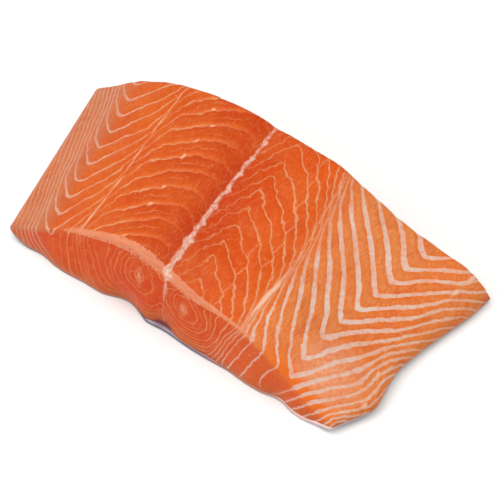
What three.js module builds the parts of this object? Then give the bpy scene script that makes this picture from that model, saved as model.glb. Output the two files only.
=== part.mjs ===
// Raw salmon fillet: one centre-cut portion of a salmon side. It lies on its skin with the
// flesh up. X runs from the back edge to the belly edge, Y along the fish from one knife
// cut to the other, and Z up from the surface it rests on. All sizes are in millimetres.
import * as THREE from 'three';

// ---- driving dimensions ---------------------------------------------------------------
const CUT_TO_CUT = 87.6;          // along the fish, at the foot of the two knife cuts
const BACK_X = [7.3, -11.9];      // the back edge: at the near cut and at the far cut
const SKIN_THICKNESS = 1.2;
const LAYER_GAP = 0.3;            // kept clear between the skin and the flesh above it

// The belly edge: [share of the way from the near cut to the far cut, x].
const BELLY_EDGE = [
  [0, 166.4], [0.1, 171], [0.19, 174.7], [0.3, 173.6], [0.42, 172.4],
  [0.56, 174.2], [0.72, 177.6], [0.86, 180.8], [1, 182.6],
];

// Height of the flesh: [share of the way from the back edge to the belly edge, z].
const NEAR_CREST = [
  [0, 8], [0.05, 11.2], [0.12, 17.4], [0.2, 25], [0.3, 31.6], [0.38, 34.2],
  [0.48, 31.4], [0.56, 28.2], [0.67, 26.6], [0.76, 23.6], [0.86, 16.4], [0.95, 8.8], [1, 6.4],
];
const FAR_CREST = [
  [0, 3.6], [0.04, 7.4], [0.1, 15], [0.2, 24.8], [0.3, 30.2], [0.4, 32.4], [0.48, 31.2],
  [0.56, 30.8], [0.62, 29.8], [0.68, 24.8], [0.77, 19], [0.86, 15.2], [0.95, 12], [1, 6],
];

// The underside is flat and curls up to the two long edges: [share, rise near, rise far].
const BACK_CURL = { width: 0.11, near: 4.3, far: 0.6, power: 3 };
const BELLY_CURL = { width: 0.09, near: 2.6, far: 0.3, power: 2 };

// The knife cuts lean, and their foot is wavy: [x, half width, depth into the block].
const NEAR_CUT = { foot: -2.6, lean: 0.2, bulge: 0.7 };
const FAR_CUT = { foot: NEAR_CUT.foot + CUT_TO_CUT, lean: 0.1, bulge: 0.5 };
const NEAR_FOOT_WAVES = [
  [23, 8, 0.8], [36, 11, -0.6], [66, 13, 3.2], [85, 10, 1.6],
  [98, 9, -0.4], [128, 12, -0.7], [141, 8, 1.0], [152, 9, -0.8],
];
const FOOT_WAVE_HEIGHT = 10;      // the waves fade out this far up the cut
const FAR_CORNER = { width: 24, depth: 6.8 };

// Round edges. The one along the top of the near cut changes on the way: [x, radius].
const NEAR_TOP_RADIUS = [
  [0, 0.8], [30, 0.9], [52, 3], [72, 4.2], [92, 3.2], [116, 1.2], [131, 1.2],
  [142, 2.6], [168, 2.6],
];
const FAR_TOP_RADIUS = 2;
const BACK_RADIUS = 2.6;
const BELLY_RADIUS = 2.4;

// How finely the surfaces are divided.
const COLUMNS = 34;
const ROWS = 14;
const FACE_ROWS = 5;
const ARC_STEPS = 4;

// ---- curves -----------------------------------------------------------------------------
const mix = (a, b, t) => a + (b - a) * t;
const clamp = (value, low, high) => Math.min(Math.max(value, low), high);

// A smooth curve through [at, value] points, with slopes taken from each point's neighbours.
function curve(points, at) {
  const last = points.length - 1;
  let i = 0;
  while (i < last - 1 && at > points[i + 1][0]) i += 1;
  const slope = (k) => {
    const a = points[Math.max(k - 1, 0)];
    const b = points[Math.min(k + 1, last)];
    return (b[1] - a[1]) / (b[0] - a[0]);
  };
  const [x0, y0] = points[i];
  const [x1, y1] = points[i + 1];
  const span = x1 - x0;
  const t = clamp((at - x0) / span, 0, 1);
  const s = 1 - t;
  return y0 * (1 + 2 * t) * s * s + y1 * t * t * (3 - 2 * t)
    + span * (slope(i) * t * s * s - slope(i + 1) * t * t * s);
}

// A round-topped wave that is 1 at its middle and 0 beyond its half width.
function hump(x, middle, halfWidth) {
  const reach = clamp(Math.abs(x - middle) / halfWidth, 0, 1);
  return 0.5 + 0.5 * Math.cos(Math.PI * reach);
}

// A quarter circle that rises from 0 to 1 over the radius.
function quarterCircle(distance, radius) {
  const left = 1 - clamp(distance / radius, 0, 1);
  return Math.sqrt(1 - left * left);
}

// ---- the block of fish --------------------------------------------------------------------
function acrossX(u, v) {
  return mix(mix(BACK_X[0], BACK_X[1], v), curve(BELLY_EDGE, v), u);
}

function crest(u, v) {
  return mix(curve(NEAR_CREST, u), curve(FAR_CREST, u), v);
}

function curl(shape, share, v) {
  const inside = clamp(1 - share / shape.width, 0, 1);
  return mix(shape.near, shape.far, v) * inside ** shape.power;
}

function underside(u, v) {
  return curl(BACK_CURL, u, v) + curl(BELLY_CURL, 1 - u, v);
}

function bulge(x, z) {
  const height = clamp(z / 30, 0, 1);
  return 4 * height * (1 - height) * hump(x, 80, 110);
}

function nearCutY(x, z) {
  const waves = NEAR_FOOT_WAVES.reduce(
    (sum, [middle, halfWidth, depth]) => sum + depth * hump(x, middle, halfWidth), 0);
  const fade = Math.exp(-((z / FOOT_WAVE_HEIGHT) ** 2));
  return NEAR_CUT.foot + NEAR_CUT.lean * z - NEAR_CUT.bulge * bulge(x, z) + waves * fade;
}

function farCutY(x, z) {
  const fromCorner = clamp(1 - (x - BACK_X[1]) / FAR_CORNER.width, 0, 1);
  const corner = FAR_CORNER.depth * fromCorner * fromCorner;
  return FAR_CUT.foot + FAR_CUT.lean * z + FAR_CUT.bulge * bulge(x, z) - corner;
}

// ---- closed solids ------------------------------------------------------------------------
// Shares of the way across, closer together where the two long edges turn round.
function columnShares() {
  const width = acrossX(1, 0.5) - acrossX(0, 0.5);
  const shares = [];
  for (let k = 0; k < ARC_STEPS; k += 1) {
    shares.push(BACK_RADIUS * (1 - Math.cos((Math.PI / 2) * (k / ARC_STEPS))) / width);
  }
  const first = BACK_RADIUS / width;
  const last = 1 - BELLY_RADIUS / width;
  for (let k = 0; k <= COLUMNS; k += 1) shares.push(mix(first, last, k / COLUMNS));
  for (let k = ARC_STEPS - 1; k >= 0; k -= 1) {
    shares.push(1 - BELLY_RADIUS * (1 - Math.cos((Math.PI / 2) * (k / ARC_STEPS))) / width);
  }
  return shares;
}

// How far a layer has opened at a column: 0 on the long edges, 1 past their round.
function opening(u) {
  const width = acrossX(1, 0.5) - acrossX(0, 0.5);
  return quarterCircle(u * width, BACK_RADIUS) * quarterCircle((1 - u) * width, BELLY_RADIUS);
}

// Shares of the way along one column, closer together on the round top edges.
function rowShares(nearRadius, farRadius) {
  const shares = [];
  const arc = (k) => 1 - Math.cos((Math.PI / 2) * (k / ARC_STEPS));
  for (let k = 0; k < ARC_STEPS; k += 1) shares.push(nearRadius * arc(k) / CUT_TO_CUT);
  const first = nearRadius / CUT_TO_CUT;
  const last = 1 - farRadius / CUT_TO_CUT;
  for (let k = 0; k <= ROWS; k += 1) shares.push(mix(first, last, k / ROWS));
  for (let k = ARC_STEPS - 1; k >= 0; k -= 1) shares.push(1 - farRadius * arc(k) / CUT_TO_CUT);
  return shares;
}

// The closed loop of points of one column: along the top, down the far cut, back along the
// bottom and up the near cut. A layer gives its bottom, its top, its roundness and its reach,
// and how far up its thickness its bottom and top meet on the two long edges.
function columnLoop(layer, u) {
  const open = opening(u);
  const meet = (v) => mix(layer.bottom(u, v), layer.top(u, v), layer.meet);
  const low = (v) => mix(meet(v), layer.bottom(u, v), open);
  const high = (v) => mix(meet(v), layer.top(u, v), open);
  const nearX = acrossX(u, 0);
  const farX = acrossX(u, 1);
  const nearRadius = Math.min(layer.round * curve(NEAR_TOP_RADIUS, nearX), 0.6 * (high(0) - low(0)));
  const farRadius = Math.min(layer.round * FAR_TOP_RADIUS, 0.6 * (high(1) - low(1)));
  const nearY = (z) => nearCutY(nearX, z) - layer.reach;
  const farY = (z) => farCutY(farX, z) + layer.reach;
  const shares = rowShares(nearRadius, farRadius);
  const loop = [];
  for (const v of shares) {
    const fall = nearRadius * (1 - quarterCircle(v * CUT_TO_CUT, nearRadius || 1))
      + farRadius * (1 - quarterCircle((1 - v) * CUT_TO_CUT, farRadius || 1));
    const y = mix(nearY(high(0) - nearRadius), farY(high(1) - farRadius), v);
    loop.push([acrossX(u, v), y, high(v) - fall]);
  }
  for (let k = 1; k < FACE_ROWS; k += 1) {
    const z = mix(high(1) - farRadius, low(1), k / FACE_ROWS);
    loop.push([farX, farY(z), z]);
  }
  for (const v of [...shares].reverse()) {
    loop.push([acrossX(u, v), mix(nearY(low(0)), farY(low(1)), v), low(v)]);
  }
  for (let k = 1; k < FACE_ROWS; k += 1) {
    const z = mix(low(0), high(0) - nearRadius, k / FACE_ROWS);
    loop.push([nearX, nearY(z), z]);
  }
  return loop;
}

// Joins the loops into one closed mesh. Points that fall together are shared.
function solidFromLoops(loops) {
  const positions = [];
  const known = new Map();
  const indexOf = (point) => {
    const key = point.map((value) => value.toFixed(4)).join(' ');
    if (!known.has(key)) {
      known.set(key, known.size);
      positions.push(...point);
    }
    return known.get(key);
  };
  const rings = loops.map((loop) => loop.map(indexOf));
  const triangles = [];
  const add = (a, b, c) => {
    if (a !== b && b !== c && c !== a) triangles.push(a, b, c);
  };
  for (let i = 0; i + 1 < rings.length; i += 1) {
    for (let j = 0; j < rings[i].length; j += 1) {
      const k = (j + 1) % rings[i].length;
      add(rings[i][j], rings[i + 1][j], rings[i + 1][k]);
      add(rings[i][j], rings[i + 1][k], rings[i][k]);
    }
  }
  const geometry = new THREE.BufferGeometry();
  geometry.setAttribute('position', new THREE.Float32BufferAttribute(positions, 3));
  geometry.setIndex(triangles);
  return geometry;
}

function buildLayer(name, colour, roughness, layer) {
  const loops = columnShares().map((u) => columnLoop(layer, u));
  const material = new THREE.MeshStandardMaterial({ color: colour, roughness, metalness: 0 });
  const mesh = new THREE.Mesh(solidFromLoops(loops), material);
  mesh.name = name;
  return mesh;
}

// ---- the two pieces -------------------------------------------------------------------------
const skin = buildLayer('skin', 0x8f929c, 0.35, {
  bottom: underside,
  top: (u, v) => underside(u, v) + SKIN_THICKNESS,
  round: 0,
  reach: 0.3,
  meet: 0.85,
});

const flesh = buildLayer('flesh', 0xdc6a30, 0.4, {
  bottom: (u, v) => underside(u, v) + SKIN_THICKNESS + LAYER_GAP,
  top: crest,
  round: 1,
  reach: 0,
  meet: 0.1,
});

// The origin is under the middle of the whole fillet, on the surface it rests on.
const group = new THREE.Group();
group.add(flesh, skin);
const bounds = new THREE.Box3().setFromObject(group);
const middle = bounds.getCenter(new THREE.Vector3());
for (const mesh of group.children) mesh.geometry.translate(-middle.x, -middle.y, -bounds.min.z);

export default group;
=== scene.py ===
"""Raw salmon fillet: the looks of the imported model, built in Blender.

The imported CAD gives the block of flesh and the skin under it. This script replaces both
with finer meshes of the same shape, draws the muscle lines on them and sets up a plain
studio. Shape and pattern are worked out in millimetres in the fish's own plan frame, X
from back to belly and Y from the near knife cut to the far one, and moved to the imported
frame in metres at the end.
"""
import math
from types import SimpleNamespace

import bmesh
import bpy
import numpy as np
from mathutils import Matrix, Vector
from mathutils.geometry import delaunay_2d_cdt


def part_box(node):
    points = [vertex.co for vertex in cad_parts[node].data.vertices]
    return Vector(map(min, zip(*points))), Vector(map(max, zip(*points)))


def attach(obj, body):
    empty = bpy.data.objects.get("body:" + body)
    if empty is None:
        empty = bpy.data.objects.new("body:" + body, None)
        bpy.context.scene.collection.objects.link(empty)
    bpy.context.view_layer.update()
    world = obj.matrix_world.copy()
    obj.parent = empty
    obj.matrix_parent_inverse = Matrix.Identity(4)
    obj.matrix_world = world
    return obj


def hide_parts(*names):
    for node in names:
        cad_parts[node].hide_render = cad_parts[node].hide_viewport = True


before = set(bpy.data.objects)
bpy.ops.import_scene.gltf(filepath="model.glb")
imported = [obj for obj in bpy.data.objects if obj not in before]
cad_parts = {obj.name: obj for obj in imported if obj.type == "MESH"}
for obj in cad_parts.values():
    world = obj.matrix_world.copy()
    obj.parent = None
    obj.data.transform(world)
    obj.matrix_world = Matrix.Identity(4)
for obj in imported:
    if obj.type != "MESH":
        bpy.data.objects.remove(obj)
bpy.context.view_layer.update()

MM = 0.001

# ---- driving dimensions, as in the CAD, mm ------------------------------------------------
CUT_TO_CUT = 87.6
BACK_X = (7.3, -11.9)
SKIN_THICKNESS = 1.2
LAYER_GAP = 0.3
BELLY_EDGE = (
    (0, 166.4), (0.1, 171), (0.19, 174.7), (0.3, 173.6), (0.42, 172.4),
    (0.56, 174.2), (0.72, 177.6), (0.86, 180.8), (1, 182.6),
)
NEAR_CREST = (
    (0, 8), (0.05, 11.2), (0.12, 17.4), (0.2, 25), (0.3, 31.6), (0.38, 34.2), (0.48, 31.4),
    (0.56, 28.2), (0.67, 26.6), (0.76, 23.6), (0.86, 16.4), (0.95, 8.8), (1, 6.4),
)
FAR_CREST = (
    (0, 3.6), (0.04, 7.4), (0.1, 15), (0.2, 24.8), (0.3, 30.2), (0.4, 32.4), (0.48, 31.2),
    (0.56, 30.8), (0.62, 29.8), (0.68, 24.8), (0.77, 19), (0.86, 15.2), (0.95, 12), (1, 6),
)
BACK_CURL = dict(width=0.11, near=4.3, far=0.6, power=3)
BELLY_CURL = dict(width=0.09, near=2.6, far=0.3, power=2)
NEAR_CUT = dict(foot=-2.6, lean=0.2, bulge=0.7)
FAR_CUT = dict(foot=NEAR_CUT["foot"] + CUT_TO_CUT, lean=0.1, bulge=0.5)
NEAR_FOOT_WAVES = (
    (23, 8, 0.8), (36, 11, -0.6), (66, 13, 3.2), (85, 10, 1.6),
    (98, 9, -0.4), (128, 12, -0.7), (141, 8, 1.0), (152, 9, -0.8),
)
FOOT_WAVE_HEIGHT = 10
BULGE = dict(height=30, middle=80, half_width=110)
FAR_CORNER = dict(width=24, depth=6.8)
NEAR_TOP_RADIUS = (
    (0, 0.8), (30, 0.9), (52, 3), (72, 4.2), (92, 3.2), (116, 1.2), (131, 1.2), (142, 2.6),
    (168, 2.6),
)
FAR_TOP_RADIUS = 2
BACK_RADIUS = 2.6
BELLY_RADIUS = 2.4
RADIUS_ROOM = 0.6                 # the share of a layer's thickness that its round edge may take
FLESH_MEET = 0.1                  # how far up a layer its two sides meet on the long edges
SKIN_MEET = 0.85                  # the same for the skin

# ---- how finely the meshes are divided -----------------------------------------------------
COLUMNS = 330
ROWS = 150
FACE_ROWS = 50
ARC_STEPS = 6
CHART_SIZE = 200                  # millimetres of surface across the whole UV square
CHART_MARGIN = 0.004
CLOSING_SPACING = 7               # between two points of the sheet that closes a mesh, mm
CLOSING_U = (0.04, 0.97)          # from where to where those points lie, as shares
CLOSING_V = (0.08, 0.93)
WELD_DISTANCE = 5e-7              # metres


# ---- curves and noise -------------------------------------------------------------------------
LATTICE = 64                      # how many random numbers there are before they repeat
LATTICE_START = 900


def mix(a, b, t):
    return a + (b - a) * t


def ease(low, high, at):
    """0 below low, 1 above high and smooth between them."""
    t = np.clip((at - low) / (high - low), 0, 1)
    return t * t * (3 - 2 * t)


def curve(points, at):
    """A smooth curve through (at, value) points, with slopes from each point's neighbours."""
    x, y = (np.array(column, float) for column in zip(*points))
    slope = np.empty_like(y)
    slope[1:-1] = (y[2:] - y[:-2]) / (x[2:] - x[:-2])
    slope[0] = (y[1] - y[0]) / (x[1] - x[0])
    slope[-1] = (y[-1] - y[-2]) / (x[-1] - x[-2])
    at = np.asarray(at, float)
    i = np.clip(np.searchsorted(x, at, side="right") - 1, 0, len(x) - 2)
    span = x[i + 1] - x[i]
    t = np.clip((at - x[i]) / span, 0, 1)
    s = 1 - t
    ends = y[i] * (1 + 2 * t) * s * s + y[i + 1] * t * t * (3 - 2 * t)
    return ends + span * (slope[i] * t * s * s - slope[i + 1] * t * t * s)


def steps(points, at):
    """Straight runs through (at, value) points."""
    x, y = zip(*points)
    return np.interp(at, x, y)


def hump(x, middle, half_width):
    """1 at the middle, 0 beyond half a width and smooth between them."""
    reach = np.clip(np.abs(x - middle) / half_width, 0, 1)
    return 0.5 + 0.5 * np.cos(np.pi * reach)


def quarter_circle(distance, radius):
    """0 at an edge, rising on a quarter circle to 1 a radius away from it."""
    left = 1 - np.clip(distance / np.maximum(radius, 1e-9), 0, 1)
    return np.sqrt(1 - left * left)


def ripple(x, y, size, seed):
    """Smooth seeded noise from -1 to 1, with bumps about size millimetres across."""
    n = LATTICE
    lattice = np.random.default_rng(seed).uniform(-1, 1, (n, n))
    a, b = x / size + LATTICE_START, y / size + LATTICE_START
    i, j = np.floor(a).astype(int), np.floor(b).astype(int)
    s, t = a - i, b - j
    s, t = s * s * (3 - 2 * s), t * t * (3 - 2 * t)
    near = mix(lattice[i % n, j % n], lattice[(i + 1) % n, j % n], s)
    far = mix(lattice[i % n, (j + 1) % n], lattice[(i + 1) % n, (j + 1) % n], s)
    return mix(near, far, t)


def chance_of(number, seed):
    """A seeded chance from 0 to 1 for each whole number."""
    whole = np.floor(number).astype(int)
    return np.random.default_rng(seed).random(LATTICE)[whole % LATTICE]


# ---- the block of fish ------------------------------------------------------------------------
def across_x(u, v):
    return mix(mix(BACK_X[0], BACK_X[1], v), curve(BELLY_EDGE, v), u)


def crest(u, v):
    return mix(curve(NEAR_CREST, u), curve(FAR_CREST, u), v)


def curl(shape, share, v):
    inside = np.clip(1 - share / shape["width"], 0, 1)
    return mix(shape["near"], shape["far"], v) * inside ** shape["power"]


def underside(u, v):
    return curl(BACK_CURL, u, v) + curl(BELLY_CURL, 1 - u, v)


def bulge(x, z):
    height = np.clip(z / BULGE["height"], 0, 1)
    return 4 * height * (1 - height) * hump(x, BULGE["middle"], BULGE["half_width"])


def near_cut_y(x, z):
    waves = sum(depth * hump(x, middle, half) for middle, half, depth in NEAR_FOOT_WAVES)
    fade = np.exp(-((z / FOOT_WAVE_HEIGHT) ** 2))
    return NEAR_CUT["foot"] + NEAR_CUT["lean"] * z - NEAR_CUT["bulge"] * bulge(x, z) + waves * fade


def far_cut_y(x, z):
    from_corner = np.clip(1 - (x - BACK_X[1]) / FAR_CORNER["width"], 0, 1)
    corner = FAR_CORNER["depth"] * from_corner**2
    return FAR_CUT["foot"] + FAR_CUT["lean"] * z + FAR_CUT["bulge"] * bulge(x, z) - corner


MEAN_WIDTH = float(across_x(1, 0.5) - across_x(0, 0.5))


def opening(u):
    """0 on the two long edges, where a layer's top and bottom meet, and 1 past their round."""
    return quarter_circle(u * MEAN_WIDTH, BACK_RADIUS) * quarter_circle(
        (1 - u) * MEAN_WIDTH, BELLY_RADIUS
    )


def column_shares():
    arc = 1 - np.cos(np.pi / 2 * np.arange(ARC_STEPS) / ARC_STEPS)
    first = BACK_RADIUS / MEAN_WIDTH
    last = 1 - BELLY_RADIUS / MEAN_WIDTH
    middle = np.linspace(first, last, COLUMNS + 1)
    return np.concatenate([first * arc, middle, 1 - (1 - last) * arc[::-1]])


def row_shares(near_radius, far_radius):
    """Shares of the way along each column, closer together on the round top edges."""
    arc = 1 - np.cos(np.pi / 2 * np.arange(ARC_STEPS) / ARC_STEPS)
    first = near_radius / CUT_TO_CUT
    last = 1 - far_radius / CUT_TO_CUT
    middle = mix(first, last, np.linspace(0, 1, ROWS + 1))
    return np.concatenate([first * arc, middle, 1 - (1 - last) * arc[::-1]], axis=1)


def edge_radius(wanted, thickness):
    return np.minimum(wanted, RADIUS_ROOM * np.abs(thickness))


def wrap(outer, inner, meet, roundness, reach, face_rows):
    """A layer's outer side as a grid: up the near cut, along the outer face, down the far cut.

    On the two long edges the outer and inner sides meet at a share of the way between them.
    Gives each point's place, its shares u and v, and its place q on the unrolled surface.
    """
    u = column_shares()[:, None]
    open_u = opening(u)

    def out_z(v):
        return mix(mix(inner(u, v), outer(u, v), meet), outer(u, v), open_u)

    def in_z(v):
        return mix(mix(inner(u, v), outer(u, v), meet), inner(u, v), open_u)

    near_x, far_x = across_x(u, 0), across_x(u, 1)
    near_radius = edge_radius(roundness * curve(NEAR_TOP_RADIUS, near_x), out_z(0) - in_z(0))
    far_radius = edge_radius(roundness * FAR_TOP_RADIUS, out_z(1) - in_z(1))
    near_edge, far_edge = out_z(0) - near_radius, out_z(1) - far_radius
    near_reach, far_reach = reach(near_x), reach(0)
    v = row_shares(near_radius, far_radius)
    fall = near_radius * (1 - quarter_circle(v * CUT_TO_CUT, near_radius))
    fall = fall + far_radius * (1 - quarter_circle((1 - v) * CUT_TO_CUT, far_radius))
    near_y = near_cut_y(near_x, near_edge) - near_reach
    far_y = far_cut_y(far_x, far_edge) + far_reach
    top_y = mix(near_y, far_y, v)
    down = np.linspace(0, 1, face_rows + 1)[None, 1:]
    near_z = mix(near_edge, in_z(0), down)[:, ::-1]
    far_z = mix(far_edge, in_z(1), down)
    near_face = near_cut_y(near_x, near_z) - near_reach
    far_face = far_cut_y(far_x, far_z) + far_reach
    x = np.concatenate([near_x + 0 * near_z, across_x(u, v), far_x + 0 * far_z], axis=1)
    y = np.concatenate([near_face, top_y, far_face], axis=1)
    z = np.concatenate([near_z, out_z(v) - fall, far_z], axis=1)
    near_q = near_y - np.abs(near_edge - near_z)
    far_q = far_y + np.abs(far_edge - far_z)
    q = np.concatenate([near_q, top_y, far_q], axis=1)
    v_all = np.concatenate([0 * near_z, v, 1 + 0 * far_z], axis=1)
    return np.stack([x, y, z], axis=2), u + 0 * v_all, v_all, q


# ---- the muscle pattern -----------------------------------------------------------------------
PITCH = 9.2                       # between two white lines, along the fish
FIRST_LINE = 46                   # where one of them meets the bottom of the back V
LANDMARK_SPAN = 85

# Landmark lines that run along the fish: x at shares of the landmark span.
BACK_V = ((0, 27.8), (0.1, 25.7), (0.32, 21), (0.54, 17), (0.75, 13.4), (0.94, 8.2), (1, 6.6))
BACK_SEAM = ((0, 42.6), (0.17, 40.2), (0.35, 38.9), (0.53, 36.9), (0.8, 33.8), (1, 32))
MIDDLE = ((0, 84.6), (0.1, 83.4), (0.24, 81.8), (0.47, 79.7), (0.8, 77.6), (1, 76.6))
PEAK = ((0, 95), (0.3, 93.2), (0.55, 90.6), (0.85, 89), (1, 88.5))
BELLY_SEAM = ((0, 119.3), (0.35, 119), (0.5, 118.2), (0.7, 116.4), (1, 112))
BELLY_V = ((0, 144.6), (0.25, 144.7), (0.4, 146), (0.6, 149.4), (0.82, 152.4), (1, 156))

# How far along the fish one white line lies, by the zone it is in: zone 0 is the back edge,
# then each landmark line starts the next zone and 7 is the belly edge.
FOLD = (
    (1, 0), (1.07, 0.5), (1.25, 3.8), (1.5, 8.8), (1.72, 13.2), (1.88, 19.5), (1.97, 25), (2.03, 32),
    (2.09, 38.4), (2.15, 43.4), (2.28, 47.2), (2.43, 52.4), (2.665, 57.4), (2.8, 58.9),
    (2.87, 58.6), (2.94, 56.5), (3.02, 53.4), (3.2, 56.6), (3.43, 61.9), (3.6, 67),
    (3.86, 72.2), (4, 75.4), (4.15, 71.8), (4.31, 68.2), (4.455, 65), (4.555, 60.5),
    (4.71, 55), (4.82, 49.5), (4.92, 43.5), (4.97, 38), (5.03, 31), (5.07, 20.9),
    (5.15, 13.9), (5.25, 7.9), (5.35, 3.4), (5.5, -3.1), (5.65, -9.1), (5.78, -14.1),
    (5.9, -19.1), (6, -22.1),
)
BELLY_ARM = (
    (6, 0), (6.09, 1.5), (6.2, 4.5), (6.3, 7.5), (6.45, 11.5), (6.6, 16.2), (6.68, 19.8),
    (6.76, 24.6), (6.84, 29), (6.92, 33.5), (7, 38), (7.2, 48),
)
# How much steeper that arm is, by the distance along the fish, and the ridge that it kinks at.
BELLY_SPREAD = (
    (0, 1.9), (15, 1.8), (31, 1.63), (41.5, 1.43), (46, 1.32), (53, 1.25), (62, 1.22),
    (70, 1.18), (75, 1.1), (80, 1.0), (88, 0.92),
)
BELLY_RIDGE = ((8, 7.0), (18, 6.9), (30, 6.79), (36, 6.72), (60, 6.69), (88, 6.7))
BACK_ARM = (
    (0, 0), (0.04, 0.2), (0.12, 1.4), (0.28, 6), (0.385, 11), (0.45, 17.5), (0.55, 28), (0.7, 42),
    (0.85, 55), (1, 68), (1.2, 86),
)

SEAM_FAN = 0.26                   # how far the two steep seams fan out, in zones
FAN_DEPTH = 20                    # mm below the surface
NEAR_SPREAD = 4.3                 # how much further the belly's lines spread at the near cut, mm
CONE_BLEND = 2.0                  # how softly the rings of the two cones meet, mm

# The two muscle cones that a cut shows as rings: beside the middle, depth, size and slope.
BACK_CONE = dict(beside=-12.5, depth=12, out=1, up=2.67, down=1, height=79.5, slope=2.05)
BELLY_CONE = dict(beside=9.5, depth=9.5, out=1.3, up=1.6, down=0.9, height=88, slope=2.6)


def landmarks(y):
    """Where the back edge, the six landmark lines and the belly edge lie, x in that order."""
    share = np.clip(y, 0, LANDMARK_SPAN) / LANDMARK_SPAN
    inner = [curve(p, share) for p in (BACK_V, BACK_SEAM, MIDDLE, PEAK, BELLY_SEAM, BELLY_V)]
    return [mix(BACK_X[0], BACK_X[1], share), *inner, curve(BELLY_EDGE, share)]


def zone_of(x, y):
    marks = landmarks(y)
    zone = (x - marks[0]) / (marks[1] - marks[0])
    for k in range(1, 7):
        zone = np.where(x >= marks[k], k + (x - marks[k]) / (marks[k + 1] - marks[k]), zone)
    return zone


def fold(zone, y):
    middle = curve(FOLD, zone)
    back = curve(BACK_ARM, 1 - zone)
    straighter = 0.13 * ease(6.5, 7, zone) * (1 - ease(6, 26, y))
    belly = FOLD[-1][1] + curve(BELLY_ARM, zone - straighter) * curve(BELLY_SPREAD, y)
    return np.where(zone < 1, back, np.where(zone > 6, belly, middle))


def spread_fold(zone, y, depth):
    """The fold, with its two steep seams fanned out below the surface."""
    fan = SEAM_FAN * np.clip(depth / FAN_DEPTH, 0, 1.2)
    return sum(fold(zone + fan * k, y) for k in (-1, -0.6, -0.2, 0.2, 0.6, 1)) / 6


def surface_x(x, depth):
    """Where on the top face the sheet that passes a point at a depth comes out."""
    back = np.minimum(mix(0.027, 0.012, ease(26, 40, x)) * depth**2, 16)
    return x - back * (1 - ease(66, 80, x)) + 0.5 * depth * ease(80, 112, x)


def cone(shape, beside, depth):
    """How far along the fish a muscle cone's surface lies, at a place beside the middle."""
    x = beside - shape["beside"]
    out = np.where(x < 0, x, x / shape["out"])
    above = depth - shape["depth"]
    along = np.where(above < 0, above / shape["up"], above / shape["down"])
    return shape["height"] - shape["slope"] * np.sqrt(out**2 + along**2 + 1)


def muscle_phase(x, y, depth):
    """A whole number on each white line. Also gives the zone of the fish."""
    zone = zone_of(surface_x(x, depth), y)
    height = spread_fold(zone, y, depth)
    beside = x - landmarks(y)[3]
    back, belly = cone(BACK_CONE, beside, depth), cone(BELLY_CONE, beside, depth)
    cones = CONE_BLEND * np.logaddexp(back / CONE_BLEND, belly / CONE_BLEND)
    inside = ease(1, 7, depth) * ease(-34, -22, beside) * (1 - ease(20, 32, beside))
    spread = NEAR_SPREAD * ease(0, 30, 36 - y) * ease(5.0, 5.25, zone)
    return (y + spread - FIRST_LINE - mix(height, cones, inside)) / PITCH, zone


def slope_on(grid, values):
    """How fast values change over the surface, per millimetre."""
    total = 0
    for axis in (0, 1):
        length = np.linalg.norm(np.gradient(grid, axis=axis), axis=2)
        total = total + (np.gradient(values, axis=axis) / np.maximum(length, 0.02)) ** 2
    return np.sqrt(total)


# Width, strength and unevenness of the white lines by zone, on the top face and on the cuts.
TOP_WIDTH = (
    (0, 0.7), (0.6, 0.75), (0.8, 0.95), (0.97, 1.35), (1.04, 1.2), (1.2, 1.0), (1.9, 0.9),
    (2.1, 0.8), (2.3, 0.9), (2.6, 0.6), (3, 0.5), (3.6, 0.55), (4, 0.75), (4.9, 0.7), (5.05, 0.8),
    (5.2, 1.7), (5.9, 2.1), (6, 2.3), (6.2, 1.8), (6.66, 1.6), (6.8, 1.1), (7, 1.0),
)
TOP_STRENGTH = (
    (0, 0.6), (0.7, 0.65), (0.85, 0.8), (1, 0.9), (1.5, 0.85), (1.9, 0.75), (1.98, 0.35),
    (2.05, 0.35), (2.12, 0.75), (2.34, 0.72), (2.44, 0.4), (2.7, 0.2), (2.9, 0.13), (3.02, 0.22),
    (3.25, 0.5), (3.7, 0.6), (4, 0.75), (4.8, 0.8), (4.94, 0.55), (5.06, 0.5), (5.2, 0.9),
    (6, 0.95), (6.5, 0.9), (7, 0.85),
)
CUT_WIDTH = (
    (0, 0.7), (2, 0.5), (5, 0.5), (5.3, 0.6), (5.42, 1.0), (5.6, 1.2), (6, 0.9), (7, 0.7),
)
CUT_STRENGTH = (
    (0, 0.75), (1, 0.55), (2, 0.38), (3, 0.5), (4, 0.65), (5, 0.75), (5.5, 0.9),
    (5.82, 0.75), (5.95, 0.1), (6.06, 0.1), (6.2, 0.7), (7, 0.85),
)
BETWEEN_STRENGTH = ((0.9, 0), (1.2, 0.4), (2, 0.4), (3, 0.4), (4, 0.45), (4.9, 0.4), (5.1, 0))
COARSE_WAVER = (
    (0, 0.4), (0.6, 0.4), (1, 0.35), (2, 0.45), (3, 0.4), (4, 0.5), (5, 0.4), (5.2, 0.3), (7, 0.35),
)
FINE_WAVER = (
    (0, 0.15), (1, 0.25), (1.3, 0.4), (1.9, 0.4), (2.1, 0.7), (2.7, 0.7), (4, 0.75), (4.9, 0.55),
    (5.1, 0.14), (6, 0.14), (6.4, 0.25), (7, 0.3),
)

# The white wall along the middle: half its width by the distance along the fish, from which
# depth to which it fades, and the nubs along its belly side.
WALL_HALF = ((-20, 1.0), (0, 1.15), (30, 1.0), (50, 0.75), (90, 0.55))
WALL_HALF_IN_CUT = 0.45
WALL_DEPTH = (8, 18)
NUB_SPACING = 9.4
NUB_START = 26.5

# The smeared hearts of the two muscle cones on the near cut: beside the middle, depth and size.
BACK_HEART = dict(beside=-12.5, depth=12, half_width=2.1, half_height=7)
BELLY_HEART = dict(beside=9.5, depth=10, half_width=3, half_height=4.6)

# Where a share of the way from cut to cut still counts as being on a cut's face.
NEAR_FACE = 0.06
FAR_FACE = 0.94

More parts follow.
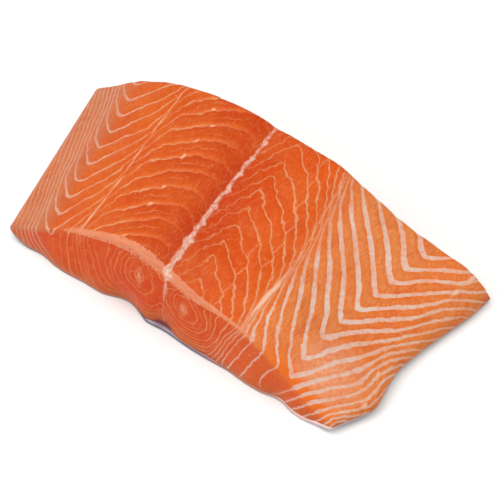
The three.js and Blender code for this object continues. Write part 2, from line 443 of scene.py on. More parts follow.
# Height of the fine relief, mm.
FLAKE_RELIEF = 0.16
SHINGLE_RELIEF = 0.4
LINE_RELIEF = 0.12
WALL_RELIEF = 0.3
GROOVE_DEPTH = 0.7
GROOVE_HALF_WIDTH = 2.6


def flesh_foot(u, v):
    return underside(u, v) + SKIN_THICKNESS + 0.8 * LAYER_GAP


def skin_top(u, v):
    return underside(u, v) + SKIN_THICKNESS + LAYER_GAP


def survey(grid, u, v, q):
    """Where each point of the flesh lies in the fish and in the muscle pattern."""
    x, y, z = grid[..., 0], grid[..., 1], grid[..., 2]
    depth = np.clip(crest(u, v) - z, 0, None)
    cut = ease(0.6, 3.2, depth) * ((v < NEAR_FACE) | (v > FAR_FACE))
    phase, zone = muscle_phase(x, y, depth)
    slope = slope_on(grid, phase)
    fine = 1.1 * ripple(x, q, 2.6, 1) + 0.6 * ripple(x, q, 1.2, 2)
    coarse = 1.4 * ripple(x, q, 10, 3)
    fraying = (1 - ease(10, 34, y)) * ease(5, 5.2, zone) * (1 - ease(5.8, 6.1, zone))
    waver = coarse * steps(COARSE_WAVER, zone) + fine * (steps(FINE_WAVER, zone) + 0.25 * fraying)
    phase = phase + slope * waver * mix(1, 0.6, cut)
    _, _, back_seam, middle, peak, belly_seam, _, _ = landmarks(y)
    return SimpleNamespace(
        x=x, y=y, u=u, v=v, q=q, depth=depth, cut=cut, phase=phase, zone=zone, slope=slope,
        fraying=fraying, back_seam=back_seam, peak=peak, belly_seam=belly_seam,
        beside=x - middle, from_cut=v * CUT_TO_CUT, rise=z - underside(u, v) - SKIN_THICKNESS,
    )


def noise_at(p, size, seed):
    """The ripple at each point of the unrolled surface, so that it doesn't stretch on the cuts."""
    return ripple(p.x, p.q, size, seed)


def line_widths(p):
    width = mix(steps(TOP_WIDTH, p.zone), steps(CUT_WIDTH, p.zone), p.cut)
    width = width * (1 + 0.25 * noise_at(p, 5, 4)) * (1 + 0.15 * noise_at(p, 1.7, 14))
    return width * (1 - 0.42 * p.fraying)


def line_strengths(p):
    strength = mix(steps(TOP_STRENGTH, p.zone), steps(CUT_STRENGTH, p.zone), p.cut)
    return strength * np.clip(0.92 + 0.25 * noise_at(p, 6, 5), 0, 1.1)


def off_line(p):
    """How far a point lies from the nearest white line, mm."""
    return np.abs((p.phase + 0.5) % 1 - 0.5) / np.maximum(p.slope, 1e-3)


def between_strengths(p):
    """Strength of the faint lines that run halfway between two white ones."""
    patches = np.clip(0.6 + 0.8 * noise_at(p, 7, 16), 0, 1)
    on_top = 0.45 * hump(p.zone, 2.5, 0.42) * ease(-0.2, 0.3, noise_at(p, 5, 28))
    return mix(on_top, steps(BETWEEN_STRENGTH, p.zone) * patches, p.cut)


def middle_wall(p):
    """How far a point lies inside the white wall along the middle, mm."""
    half = mix(steps(WALL_HALF, p.y) + 0.5 * hump(p.y, 4, 5), WALL_HALF_IN_CUT, ease(1, 3, p.depth))
    half = half * (1 - ease(*WALL_DEPTH, p.depth))
    nub = hump((p.q - NUB_START) % NUB_SPACING, NUB_SPACING / 2, 1.6) * ease(0, 0.4, p.beside)
    half = half * (1 + 0.45 * noise_at(p, 1.6, 6)) + 0.9 * nub * (1 - p.cut)
    return half - np.abs(p.beside + 0.5 * noise_at(p, 5, 7))


def knots(p):
    """Small knots of fat on some white lines between the back seam and the middle, 0 to 1."""
    chance = chance_of(p.phase + 0.5, 15)
    knot = hump(p.zone, 2.3 + 0.2 * chance, 0.035) * (chance > 0.45) * (1 - p.cut)
    return knot * (1 - ease(0.3, 0.9, off_line(p)))


def links(p):
    """How far a point lies inside the short links between lines on the belly side, mm."""
    chance = chance_of(p.phase, 18)
    at = 4.3 + 0.4 * chance + 0.06 * (p.phase % 1) + 0.006 * noise_at(p, 2, 19)
    return 0.1 - np.abs(p.zone - at) * (p.belly_seam - p.peak) - 3 * (chance < 0.2)


def seams(p):
    """How far a point lies inside the fatty seams along the fish, mm."""
    wander = 0.7 * noise_at(p, 9, 8) + 0.25 * noise_at(p, 2.5, 29)
    back = 0.3 + 0.25 * noise_at(p, 5, 17) - np.abs(p.x - p.back_seam + wander)
    belly = 0.2 + 0.85 * hump(p.y, 21, 16) - np.abs(p.x - p.belly_seam + wander)
    seam = np.maximum(np.maximum(back, belly), links(p)) - 3 * p.cut
    ridge = 0.9 * noise_at(p, 2.4, 32) - 0.15 - 16 * np.abs(p.zone - steps(BELLY_RIDGE, p.y))
    seam = np.maximum(seam, np.where(p.y > 8, ridge, -3) - 3 * p.cut)
    return np.maximum(seam, 0.75 * knots(p) - 0.35 + 0.2 * noise_at(p, 1.2, 31))


def heart(shape, p):
    across = (p.beside - shape["beside"]) / shape["half_width"]
    down = (p.depth - shape["depth"]) / shape["half_height"]
    return hump(np.hypot(across, down), 0, 1)


def cut_marks(p):
    """What shows only on a cut: smeared hearts, the paler foot, blood and a painted glow at the
    edge, as of light through the thin flesh.
    """
    wedge = 4.5 * np.exp(-((p.beside / 5) ** 2)) + 1.2 * hump(p.x, 85, 50)
    blood = p.cut * hump(np.hypot((p.beside - 0.5) / 8, (p.rise - 1) / 4.2), 0, 1)
    painted_glow = ease(126, 138, p.x) * (1 - ease(158, 170, p.x)) * (p.v < 0.5)
    return dict(
        core=(heart(BACK_HEART, p) + heart(BELLY_HEART, p)) * p.cut * (p.v < 0.5),
        dark=p.cut * (1 - ease(-1, 7, p.rise - wedge + noise_at(p, 4, 9))),
        blood=np.maximum(blood, 0.8 * p.cut * hump(p.x, 100, 16) * (1 - ease(0, 1.2, p.rise))),
        painted_glow=painted_glow * (1 - ease(2, 9, p.from_cut)) * (1 - ease(1, 6, p.depth)),
    )


def painted_bevel_highlight(p):
    """The painted highlight band along the round near top edge, from 0 to 1."""
    radius = curve(NEAR_TOP_RADIUS, p.x)
    wave = 0.1 * noise_at(p, 2.2, 27) + 0.14 * hump(p.x, 68, 26) * noise_at(p, 1.2, 30)
    around = p.depth / radius
    band = 1 - 0.5 * ease(0.12, 0.6, around) - 0.5 * ease(0.82, 1, around + wave)
    band = band * ease(0.01, 0.05, around) * (p.v < 0.07)
    return band * ease(28, 40, p.x) * ease(0, 12, 131 - p.x)


def fine_relief(p, line, strength, middle):
    """How far each point stands out of the smooth block, mm: flakes, lines and the groove."""
    groove = GROOVE_DEPTH * np.exp(-((p.beside / GROOVE_HALF_WIDTH) ** 2)) * (1 - p.cut)
    part = p.phase % 1
    flake = np.sin(np.pi * part) * np.clip(1 / np.maximum(p.slope * PITCH, 0.5), 0, 1)
    shingle = ease(0, 0.12, part) * (1 - part) * hump(p.zone, 2.45, 0.5) * (1 - p.cut)
    relief = FLAKE_RELIEF * flake * strength + SHINGLE_RELIEF * shingle - LINE_RELIEF * line - groove
    relief = relief + WALL_RELIEF * ease(-0.4, 0.6, middle)
    relief = relief + 0.22 * noise_at(p, 14, 10) + 0.1 * noise_at(p, 5, 11)
    relief = relief + 0.04 * noise_at(p, 1.2, 12)
    return relief * opening(p.u) * ease(0, 2.5, p.rise)


def flesh_fields(grid, u, v, q):
    """Everything that the flesh's material reads, point by point, and its fine relief."""
    p = survey(grid, u, v, q)
    width, strength, middle = line_widths(p), line_strengths(p), middle_wall(p)
    line = strength * (1 - ease(0.3, 1, off_line(p) / np.maximum(width, 0.5)))
    # Painted sheen: a pale haze on the top near the belly end of the near cut.
    painted_sheen = hump(p.x, 155, 20) * hump(p.y, 12, 22) * ease(1, 6, p.from_cut) * (1 - p.cut)
    fields = dict(
        phase=p.phase, slope=p.slope, zone=p.zone, line_width=width, line_strength=strength,
        between=between_strengths(p), middle=middle, seam=seams(p), cut=p.cut,
        bevel_highlight=painted_bevel_highlight(p), painted_sheen=painted_sheen, **cut_marks(p),
    )
    return fields, fine_relief(p, line, strength, middle)


# ---- meshes -------------------------------------------------------------------------------------
def packed_offset(grid):
    """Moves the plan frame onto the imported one, by the middle of the CAD's flesh."""
    low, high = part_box("flesh")
    own = (grid.reshape(-1, 3).min(0) + grid.reshape(-1, 3).max(0)) / 2
    return np.array([(low[0] + high[0]) / 2 / MM - own[0], (low[1] + high[1]) / 2 / MM - own[1], 0])


def normals_of(grid):
    normal = np.cross(np.gradient(grid, axis=0), np.gradient(grid, axis=1))
    return normal / np.maximum(np.linalg.norm(normal, axis=2, keepdims=True), 1e-9)


def closing_faces(grid, inner, offset):
    """Closes the open side of a wrapped grid with one sheet of larger triangles."""
    columns, rows = grid.shape[:2]
    loop = [(i, 0) for i in range(columns)]
    loop += [(columns - 1, j) for j in range(1, rows - 1)]
    loop += [(i, rows - 1) for i in reversed(range(columns))]
    loop += [(0, j) for j in reversed(range(1, rows - 1))]
    spots, known = [], {}
    for i, j in loop:
        key = tuple(np.round(grid[i, j, :2], 5))
        if key not in known:
            known[key] = i * rows + j
            spots.append(key)
    source = [known[key] for key in spots]
    points = []
    for u in np.arange(*CLOSING_U, CLOSING_SPACING / MEAN_WIDTH):
        for v in np.arange(*CLOSING_V, CLOSING_SPACING / CUT_TO_CUT):
            x = float(across_x(u, v))
            y = float(mix(near_cut_y(x, 0), far_cut_y(x, 0), v))
            points.append((x + offset[0], y + offset[1], float(inner(u, v))))
    source += [columns * rows + k for k in range(len(points))]
    flat = [Vector(p[:2]) for p in spots + points]
    edges = [(k, (k + 1) % len(spots)) for k in range(len(spots))]
    _, _, faces, origins, _, _ = delaunay_2d_cdt(flat, edges, [], 1, 1e-7)
    return points, [tuple(source[origins[k][0]] for k in face) for face in faces]


def unroll(mesh, chart, quads):
    """The UV map: the grid laid out flat, and the closing side in the strip beside it."""
    corners = np.empty(len(mesh.loops), int)
    mesh.loops.foreach_get("vertex_index", corners)
    places = np.empty(3 * len(mesh.vertices))
    mesh.vertices.foreach_get("co", places)
    plan = places.reshape(-1, 3)[corners, :2]
    plan = (plan - plan.min(0)) / (plan.max(0) - plan.min(0))
    on_grid = np.arange(len(corners)) < 4 * quads
    laid_out = chart - chart.min(0)
    top = laid_out[:, 1].max() / CHART_SIZE + 2 * CHART_MARGIN
    spots = laid_out[np.where(on_grid, corners, 0)] / CHART_SIZE + CHART_MARGIN
    width = laid_out[:, 0].max() / CHART_SIZE
    spots[~on_grid, 0] = CHART_MARGIN + width * plan[~on_grid, 0]
    spots[~on_grid, 1] = top + (1 - CHART_MARGIN - top) * plan[~on_grid, 1]
    layer = mesh.uv_layers.new(name="OFBake")
    layer.data.foreach_set("uv", spots.ravel())


def solid(name, grid, q, inner, offset, fields):
    """A closed mesh from a wrapped grid, with its fields as point attributes."""
    columns, rows = grid.shape[:2]
    points, closing = closing_faces(grid, inner, offset)
    corner = (np.arange(columns - 1)[:, None] * rows + np.arange(rows - 1)).ravel()
    quads = np.stack([corner, corner + rows, corner + rows + 1, corner + 1], axis=1)
    mesh = bpy.data.meshes.new(name)
    every = np.concatenate([grid.reshape(-1, 3), np.array(points)])
    mesh.from_pydata(every * MM, [], quads.tolist() + closing)
    unroll(mesh, np.stack([grid[..., 0].ravel(), q.ravel()], axis=1), len(quads))
    for key, values in fields.items():
        layer = mesh.attributes.new(key, "FLOAT", "POINT")
        data = np.concatenate([values.ravel(), np.zeros(len(points))])
        layer.data.foreach_set("value", data.astype(np.float32))
    build = bmesh.new()
    build.from_mesh(mesh)
    bmesh.ops.remove_doubles(build, verts=build.verts, dist=WELD_DISTANCE)
    bmesh.ops.recalc_face_normals(build, faces=build.faces)
    build.to_mesh(mesh)
    build.free()
    mesh.shade_smooth()
    piece = bpy.data.objects.new(name, mesh)
    bpy.context.collection.objects.link(piece)
    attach(piece, "root")
    return piece


def build_flesh():
    grid, u, v, q = wrap(crest, flesh_foot, FLESH_MEET, 1, lambda x: 0 * x, FACE_ROWS)
    offset = packed_offset(grid)
    fields, relief = flesh_fields(grid, u, v, q)
    shaped = grid + normals_of(grid) * relief[..., None]
    piece = solid("flesh_block", shaped + offset, q, flesh_foot, offset, fields)
    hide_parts("flesh")
    return piece, offset


# ---- the skin ---------------------------------------------------------------------------------
SCALE_WIDTH = 3.4
SCALE_ROW = 2.0                   # from one row of scales to the next, along the fish
SCALE_RELIEF = 0.16
SCALE_OVERLAP = 1.35              # a scale's length, in rows
SCALE_HALF_WIDTH = 0.62           # in scale widths
SKIN_FACE_ROWS = 4
LATERAL_LINE = 0.47               # share of the way from the back edge to the belly edge


def scales(x, y):
    """Overlapping scales: 1 where they stand out furthest and 0 where they stand out least."""
    height = np.zeros_like(x)
    row = np.floor(y / SCALE_ROW)
    for k in range(-1, 3):
        shift = ((row + k) % 2) * SCALE_WIDTH / 2
        centre_x = np.round((x - shift) / SCALE_WIDTH) * SCALE_WIDTH + shift
        along = (y - (row + k) * SCALE_ROW) / (SCALE_OVERLAP * SCALE_ROW)
        across = (x - centre_x) / (SCALE_HALF_WIDTH * SCALE_WIDTH)
        inside = across**2 + along**2 < 1
        height = np.maximum(height, inside * (0.5 + 0.5 * along))
    return height


def skin_reach(x):
    """How far the skin stands out past the flesh at the foot of a cut, mm."""
    return 0.05 + 1.5 * hump(x, 84, 12) + 0.5 * hump(x, 106, 12) + 0.3 * hump(x, 150, 30)


def build_skin(offset):
    grid, u, v, q = wrap(underside, skin_top, 1 - SKIN_MEET, 0, skin_reach, SKIN_FACE_ROWS)
    x, y, z = grid[..., 0], grid[..., 1], grid[..., 2]
    edge = ease(0, 0.03, v) * ease(0, 0.03, 1 - v) * ease(0, 0.02, u) * ease(0, 0.02, 1 - u)
    scale = scales(x + 0.4 * ripple(x, y, 9, 21), y + 0.4 * ripple(x, y, 9, 22))
    inward = SCALE_RELIEF * (1 - scale) * edge
    rim = np.clip((z - underside(u, v)) / SKIN_THICKNESS, 0, 1)
    across = u + 0.004 * ripple(x, y, 12, 23)
    silver = ease(66, 78, x) * (1 - ease(96, 122, x))
    fields = dict(scale=scale, rim=rim, across=across, silver=silver)
    shaped = grid + inward[..., None] * np.array([0, 0, 1])
    piece = solid("skin_sheet", shaped + offset, q, skin_top, offset, fields)
    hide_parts("skin")
    return piece


# ---- materials ----------------------------------------------------------------------------------
def colour(red, green, blue):
    """A display colour from 0 to 255, as the linear numbers that a shader takes."""
    def linear(value):
        value = value / 255
        return value / 12.92 if value <= 0.04045 else ((value + 0.055) / 1.055) ** 2.4
    return (linear(red), linear(green), linear(blue), 1)


class Graph:
    """Short calls for the shader nodes of one material."""

    def __init__(self, name):
        self.material = bpy.data.materials.new(name)
        self.material.use_nodes = True
        self.nodes = self.material.node_tree.nodes
        self.links = self.material.node_tree.links
        self.shader = self.nodes["Principled BSDF"]
        self.place = self.nodes.new("ShaderNodeTexCoord").outputs["Object"]

    def wire(self, value, socket):
        if hasattr(value, "is_linked"):
            self.links.new(value, socket)
        else:
            socket.default_value = value

    def field(self, name):
        node = self.nodes.new("ShaderNodeAttribute")
        node.attribute_name = name
        return node.outputs["Fac"]

    def math(self, operation, *values):
        node = self.nodes.new("ShaderNodeMath")
        node.operation = operation
        for value, socket in zip(values, node.inputs):
            self.wire(value, socket)
        return node.outputs[0]

    def span(self, value, low, high, start=0.0, end=1.0):
        node = self.nodes.new("ShaderNodeMapRange")
        node.interpolation_type = "SMOOTHSTEP"
        for key, number in zip(("Value", "From Min", "From Max", "To Min", "To Max"),
                               (value, low, high, start, end)):
            self.wire(number, node.inputs[key])
        return node.outputs[0]

    def noise(self, size, detail=2.0, stretch=(1, 1, 1), distortion=0.0):
        """Noise with features about size millimetres across, stretched along the axes."""
        mapping = self.nodes.new("ShaderNodeMapping")
        self.links.new(self.place, mapping.inputs["Vector"])
        mapping.inputs["Scale"].default_value = [1 / (size * MM * k) for k in stretch]
        node = self.nodes.new("ShaderNodeTexNoise")
        self.links.new(mapping.outputs[0], node.inputs["Vector"])
        node.inputs["Scale"].default_value = 1
        node.inputs["Detail"].default_value = detail
        node.inputs["Distortion"].default_value = distortion
        return node.outputs["Fac"]

    def blend(self, share, first, second):
        node = self.nodes.new("ShaderNodeMix")
        node.data_type = "RGBA"
        sockets = [s for s in node.inputs if s.enabled]
        for value, socket in zip((share, first, second), sockets):
            self.wire(value, socket)
        return next(s for s in node.outputs if s.enabled)

    def ramp(self, value, stops):
        node = self.nodes.new("ShaderNodeValToRGB")
        self.wire(value, node.inputs["Fac"])
        elements = node.color_ramp.elements
        while len(elements) < len(stops):
            elements.new(1)
        for element, (at, tone) in zip(elements, stops):
            element.position = at
            element.color = tone
        return node.outputs["Color"]

    def bump(self, height, distance, strength):
        node = self.nodes.new("ShaderNodeBump")
        node.inputs["Strength"].default_value = strength
        node.inputs["Distance"].default_value = distance * MM
        self.wire(height, node.inputs["Height"])
        self.links.new(node.outputs[0], self.shader.inputs["Normal"])

    def set(self, **values):
        for key, value in values.items():
            self.wire(value, self.shader.inputs[key.replace("_", " ")])


LINE_SOFTNESS = 0.2               # mm, on both sides of a line's edge
BETWEEN_HALF_WIDTH = 0.22

# Colour of the flesh and of its white lines by zone, from the back edge to the belly edge.
FLESH_TONES = (
    (0, (190, 108, 68)), (0.6, (188, 108, 70)), (0.9, (188, 90, 44)), (1.1, (198, 82, 13)),
    (1.8, (200, 82, 10)), (2.2, (196, 75, 11)), (2.6, (190, 67, 9)), (2.95, (184, 55, 5)),
    (3.4, (190, 61, 7)), (4.2, (200, 72, 8)), (4.9, (208, 84, 11)), (5.3, (209, 124, 68)),
    (6, (207, 112, 52)), (6.3, (210, 108, 44)), (6.66, (212, 109, 44)), (6.76, (210, 122, 66)),
    (7, (212, 122, 68)),
)
LINE_TONES = (
    (0, (194, 148, 126)), (1, (206, 164, 140)), (2, (210, 148, 106)), (4, (208, 142, 96)),
    (4.9, (212, 160, 120)), (5.2, (212, 184, 168)), (6, (212, 186, 172)), (7, (212, 178, 156)),
)


# Display colours of everything else on the flesh. Some of them are painted light: the lit and shaded
# sides of the flakes, the glow along the near top edge, the sheen near the belly end of the near
# cut, the highlight on the round near edge and the small glints.
FLESH_MARKS = dict(
    beside_line=(219, 110, 26), between_lines=(214, 130, 72), lit_flake=(224, 112, 46),
    shaded_flake=(176, 48, 4), pale_patch=(208, 100, 34), deep_patch=(182, 52, 4),
    cut=(199, 58, 0), cut_mottle=(206, 92, 30), cut_foot=(176, 96, 52), near_edge=(228, 104, 14),
    light_fibre=(236, 166, 112), dark_fibre=(176, 48, 3), painted_sheen=(230, 164, 128),
    seam_edge=(220, 158, 118), seam=(228, 192, 166), heart=(218, 150, 114), bevel_highlight=(210, 132, 96),
    wall=(208, 140, 112), wall_fleck=(222, 190, 174), blood=(122, 62, 70), painted_glint=(238, 204, 184),
)


def zone_ramp(g, zone, tones):
    low, high = tones[0][0], tones[-1][0]
    share = g.span(zone, low, high)
    share.node.interpolation_type = "LINEAR"
    return g.ramp(share, [((at - low) / (high - low), colour(*tone)) for at, tone in tones])


def paint(g, base, share, mark):
    """Lays a share of one of the flesh's marks over a colour."""
    return g.blend(share, base, colour(*FLESH_MARKS[mark]))


def frayed(g, field, size, detail, amount):
    """A field with noise added, so that its edge is ragged."""
    return g.math("MULTIPLY_ADD", g.math("SUBTRACT", g.noise(size, detail), 0.5), amount, field)


def line_share(g, phase, slope, half_width):
    """How far a point lies from a whole number of the phase, and how much of a line covers it."""
    wrapped = g.math("FRACT", g.math("ADD", phase, 0.5))
    away = g.math("DIVIDE", g.math("ABSOLUTE", g.math("SUBTRACT", wrapped, 0.5)), slope)
    over = g.math("SUBTRACT", away, half_width)
    return away, g.span(over, -LINE_SOFTNESS, LINE_SOFTNESS, 1.0, 0.0)


def flesh_lines(g):
    """The phase, the distance from a white line and how much of a line covers a point."""
    slope = g.math("MAXIMUM", g.field("slope"), 0.02)
    tremble = g.math("MULTIPLY", g.math("SUBTRACT", g.noise(1.0, 3), 0.5), 0.45)
    phase = g.math("ADD", g.field("phase"), g.math("MULTIPLY", tremble, slope))
    half = g.math("MULTIPLY", g.field("line_width"), 0.5)
    away, line = line_share(g, phase, slope, half)
    broken = g.span(g.noise(1.6, 4), 0.35, 0.6, 0.65, 1.0)
    line = g.math("MULTIPLY", g.math("MULTIPLY", line, g.field("line_strength")), broken)
    _, between = line_share(g, g.math("ADD", phase, 0.5), slope, BETWEEN_HALF_WIDTH)
    between = g.math("MULTIPLY", between, g.field("between"))
    return phase, away, g.math("MAXIMUM", line, between)


def painted_flake_light_and_shade(g, base, zone, phase):
    """Paints light and shade into each flake between the back seam and the middle: lit on one side
    and shaded on the other.
    """
    part = g.math("FRACT", phase)
    flaky = g.math("MULTIPLY", g.span(zone, 2.05, 2.3), g.span(zone, 3.0, 2.6))
    lit = g.math("MULTIPLY", g.span(part, 0.35, 0.05, 0.0, 0.4), flaky)
    base = paint(g, base, lit, "lit_flake")
    shaded = g.math("MULTIPLY", g.span(part, 0.6, 0.95, 0.0, 0.5), flaky)
    return paint(g, base, shaded, "shaded_flake")


def flesh_base(g, zone, phase, away, belly, fibre):
    """The orange of the flesh, without its lines, with its painted light: lit and shaded flakes, a
    glow by the near edge and a sheen near the belly end.
    """
    cut = g.field("cut")
    base = zone_ramp(g, zone, FLESH_TONES)
    beside_line = g.math("MULTIPLY", g.span(away, 0.6, 3.0, 0.6, 0.0), belly)
    base = paint(g, base, beside_line, "beside_line")
    between_lines = g.math("MULTIPLY", g.span(away, 1.2, 3.8, 0.0, 0.5), belly)
    base = paint(g, base, between_lines, "between_lines")
    base = painted_flake_light_and_shade(g, base, zone, phase)
    base = paint(g, base, g.span(g.noise(22, 3), 0.38, 0.68, 0.0, 0.35), "pale_patch")
    base = paint(g, base, g.span(g.noise(7, 3), 0.45, 0.75, 0.0, 0.3), "deep_patch")
    base = paint(g, base, g.math("MULTIPLY", cut, 0.75), "cut")
    mottle = g.math("MULTIPLY", g.span(g.noise(2.6, 4, (1, 1, 2)), 0.42, 0.66, 0.0, 0.4), cut)
    base = paint(g, base, mottle, "cut_mottle")
    amount = g.math("MULTIPLY_ADD", cut, -0.1, g.math("MULTIPLY_ADD", belly, 0.18, 0.14))
    light = g.math("MULTIPLY", g.span(fibre, 0.5, 0.7), amount)
    base = paint(g, base, light, "light_fibre")
    shade = g.math("MULTIPLY", g.span(fibre, 0.5, 0.3), g.math("MULTIPLY_ADD", belly, 0.1, 0.12))
    base = paint(g, base, shade, "dark_fibre")
    base = paint(g, base, g.math("MULTIPLY", g.field("dark"), 0.65), "cut_foot")
    # Painted glow: a brighter orange along the near top edge at the belly end.
    base = paint(g, base, g.math("MULTIPLY", g.field("painted_glow"), 0.6), "near_edge")
    # Painted sheen, speckled by noise.
    painted_sheen_share = g.math("MULTIPLY", g.field("painted_sheen"), g.span(g.noise(1.6, 5), 0.3, 0.64, 0.25, 0.7))
    return paint(g, base, painted_sheen_share, "painted_sheen")


def seam_tones_and_edge_highlight(g, tone):
    seam = g.field("seam")
    fat = paint(g, colour(*FLESH_MARKS["seam_edge"]), g.span(seam, 0.0, 0.6), "seam")
    tone = g.blend(g.span(seam, -0.3, 0.25, 0.0, 0.75), tone, fat)
    smear = g.math("MULTIPLY", g.field("core"), g.span(g.noise(1.1, 4), 0.35, 0.6, 0.0, 0.8))
    tone = paint(g, tone, smear, "heart")
    # Painted highlight along the round near top edge, ragged and streaked.
    band = g.field("bevel_highlight")
    dimpled = g.span(frayed(g, band, 0.9, 2, 2.0), 0.3, 0.4)
    bevel_highlight = g.math("MULTIPLY", dimpled, g.span(band, 0.02, 0.3))
    streak = g.span(g.noise(1.4, 4, (2.5, 1, 1)), 0.34, 0.6, 0.7, 0.95)
    return paint(g, tone, g.math("MULTIPLY", bevel_highlight, streak), "bevel_highlight")


def wall_tones_and_glints(g, tone, middle):
    fleck = g.span(g.noise(0.8, 4, (1, 2, 1)), 0.36, 0.64)
    wall = paint(g, colour(*FLESH_MARKS["wall"]), fleck, "wall_fleck")
    tone = g.blend(middle, tone, wall)
    tone = paint(g, tone, g.span(g.field("blood"), 0.25, 0.7, 0.0, 0.9), "blood")
    # Painted glints: small pale specks scattered over the flesh, standing in for highlights.
    painted_glint = g.math("MULTIPLY", g.span(g.noise(0.7, 2), 0.68, 0.75), g.span(g.noise(9, 2), 0.5, 0.6))
    return paint(g, tone, g.math("MULTIPLY", painted_glint, 0.6), "painted_glint")


def flesh_grain(g, fibre, line, middle):
    rough = g.math("ADD", g.math("MULTIPLY", fibre, 0.8), g.math("MULTIPLY", line, 0.5))
    rough = g.math("ADD", rough, g.math("MULTIPLY", g.noise(0.9, 3), 0.6))
    return g.math("ADD", rough, g.math("MULTIPLY", middle, 0.4))


def flesh_material():
    g = Graph("raw_flesh")
    zone = g.field("zone")
    phase, away, line = flesh_lines(g)
    belly = g.span(zone, 4.9, 5.3)
    fibre = g.noise(0.32, 2, (1.1, 8, 1), 0.15)
    middle = g.span(frayed(g, g.field("middle"), 0.8, 4, 1.6), -0.5, 0.6, 0.0, 0.85)
    base = flesh_base(g, zone, phase, away, belly, fibre)
    tone = g.blend(line, base, zone_ramp(g, zone, LINE_TONES))
    tone = seam_tones_and_edge_highlight(g, tone)
    tone = wall_tones_and_glints(g, tone, middle)
    g.set(Base_Color=tone)
    g.set(Roughness=g.span(g.noise(3, 3), 0.3, 0.7, 0.3, 0.5))
    g.set(IOR=1.4, Specular_IOR_Level=0.12, Coat_Weight=0.05, Coat_Roughness=0.12)
    g.set(Subsurface_Weight=0.06, Subsurface_Scale=0.0015)
    g.shader.inputs["Subsurface Radius"].default_value = (1.0, 0.35, 0.15)
    g.bump(flesh_grain(g, fibre, line, middle), 0.16, 0.9)
    return g.material


def skin_material():
    g = Graph("fish_skin")
    across = g.field("across")
    base = g.ramp(across, [
        (0, colour(70, 76, 84)), (0.16, colour(86, 94, 102)), (0.4, colour(140, 148, 156)),
        (0.6, colour(176, 182, 188)), (0.85, colour(206, 208, 210)), (1, colour(214, 206, 208)),
    ])
    sheen = g.blend(g.noise(16, 2), colour(196, 178, 196), colour(178, 200, 196))
    base = g.blend(g.span(across, 0.3, 0.7, 0.1, 0.35), base, sheen)
    back = g.span(across, 0.5, 0.3)
    spots = g.math("MULTIPLY", g.span(g.noise(6, 2), 0.62, 0.74), back)
    base = g.blend(g.math("MULTIPLY", spots, 0.75), base, colour(34, 38, 44))
    beside = g.math("ABSOLUTE", g.math("SUBTRACT", across, LATERAL_LINE))
    base = g.blend(g.span(beside, 0.001, 0.008, 0.35, 0.0), base, colour(84, 88, 98))
    scale = g.field("scale")
    base = g.blend(g.span(scale, 0.2, 1, 0.6, 0.0), base, colour(66, 70, 84))
    rim = g.span(g.field("rim"), 0.1, 0.5)
    edge = g.blend(g.field("silver"), colour(176, 96, 66), colour(112, 94, 112))
    lining = g.math("MULTIPLY", g.span(g.noise(0.35, 3, (14, 14, 1)), 0.42, 0.56), g.field("silver"))
    edge = g.blend(g.math("MULTIPLY", lining, 0.7), edge, colour(92, 56, 70))
    edge = g.blend(g.span(across, 0.75, 0.98), edge, colour(222, 190, 184))
    base = g.blend(rim, base, edge)
    g.set(Base_Color=base, Roughness=g.span(g.noise(4, 2), 0.3, 0.7, 0.28, 0.42))
    g.set(Metallic=0.25, Coat_Weight=0.3, Coat_Roughness=0.15)
    g.bump(g.noise(0.6, 2), 0.05, 0.4)
    return g.material


# ---- the object -----------------------------------------------------------------------------------
flesh, plan_offset = build_flesh()
flesh.data.materials.append(flesh_material())
skin = build_skin(plan_offset)
skin.data.materials.append(skin_material())


# ---- studio -------------------------------------------------------------------------------------
CAMERA_TURN = 36                  # degrees, towards the belly from straight in front of the near cut
CAMERA_RISE = 54
CAMERA_DISTANCE = 855
SENSOR_WIDTH = 36
VIEW_WIDTH = 199.5                # how much the picture spans at the camera's distance
CAMERA_AIM = (95.2, 42.9, 11.7)   # in the plan frame
FLOOR_HALF = 3                    # metres, like the rest of the studio
FLOOR_DROP = 0.0002
LIGHT_DISTANCE = 1.1
WORLD_STRENGTH = 0.42
# Each soft light: turn and rise of its direction, as for the camera, size and power.
SOFTBOXES = dict(top=(-75, 72, 1.0, 9), belly=(120, 57, 0.7, 3), edge=(-23, 27, 0.4, 3.4))


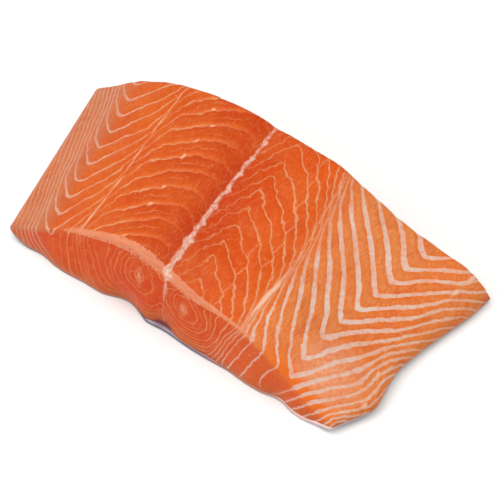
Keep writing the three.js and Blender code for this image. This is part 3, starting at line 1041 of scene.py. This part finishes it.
def direction(turn, rise):
    turn, rise = math.radians(turn), math.radians(rise)
    level = math.cos(rise)
    return Vector((math.sin(turn) * level, -math.cos(turn) * level, math.sin(rise)))


def add_camera(offset):
    aim = Vector((np.array(CAMERA_AIM) + offset) * MM)
    camera = bpy.data.objects.new("camera", bpy.data.cameras.new("camera"))
    camera.data.lens = SENSOR_WIDTH * CAMERA_DISTANCE / VIEW_WIDTH
    camera.data.sensor_width = SENSOR_WIDTH
    camera.data.clip_start = 0.05
    camera.data.clip_end = 20
    camera.location = aim + direction(CAMERA_TURN, CAMERA_RISE) * CAMERA_DISTANCE * MM
    camera.rotation_euler = (math.radians(90 - CAMERA_RISE), 0, math.radians(CAMERA_TURN))
    bpy.context.collection.objects.link(camera)
    bpy.context.scene.camera = camera


def add_floor():
    mesh = bpy.data.meshes.new("floor")
    half = FLOOR_HALF
    corners = [(-half, -half, 0), (half, -half, 0), (half, half, 0), (-half, half, 0)]
    mesh.from_pydata(corners, [], [(0, 1, 2, 3)])
    floor = bpy.data.objects.new("floor", mesh)
    floor.location.z = -FLOOR_DROP
    bpy.context.collection.objects.link(floor)
    g = Graph("pale_floor")
    g.set(Base_Color=colour(246, 245, 243), Roughness=0.9)
    mesh.materials.append(g.material)


def add_softbox(name, turn, rise, size, power):
    """A square soft light that aims at the middle of the fillet's foot."""
    back = direction(turn, rise)
    light = bpy.data.lights.new(name, "AREA")
    light.size = size
    light.energy = power
    softbox = bpy.data.objects.new(name, light)
    softbox.location = back * LIGHT_DISTANCE
    softbox.rotation_euler = back.to_track_quat("Z", "Y").to_euler()
    bpy.context.collection.objects.link(softbox)


def add_world():
    world = bpy.data.worlds.new("studio")
    world.use_nodes = True
    background = world.node_tree.nodes["Background"]
    background.inputs["Color"].default_value = (1, 1, 1, 1)
    background.inputs["Strength"].default_value = WORLD_STRENGTH
    bpy.context.scene.world = world


add_camera(plan_offset)
add_floor()
add_world()
for light_name, numbers in SOFTBOXES.items():
    add_softbox(light_name, *numbers)
bpy.context.scene.view_settings.view_transform = "Standard"

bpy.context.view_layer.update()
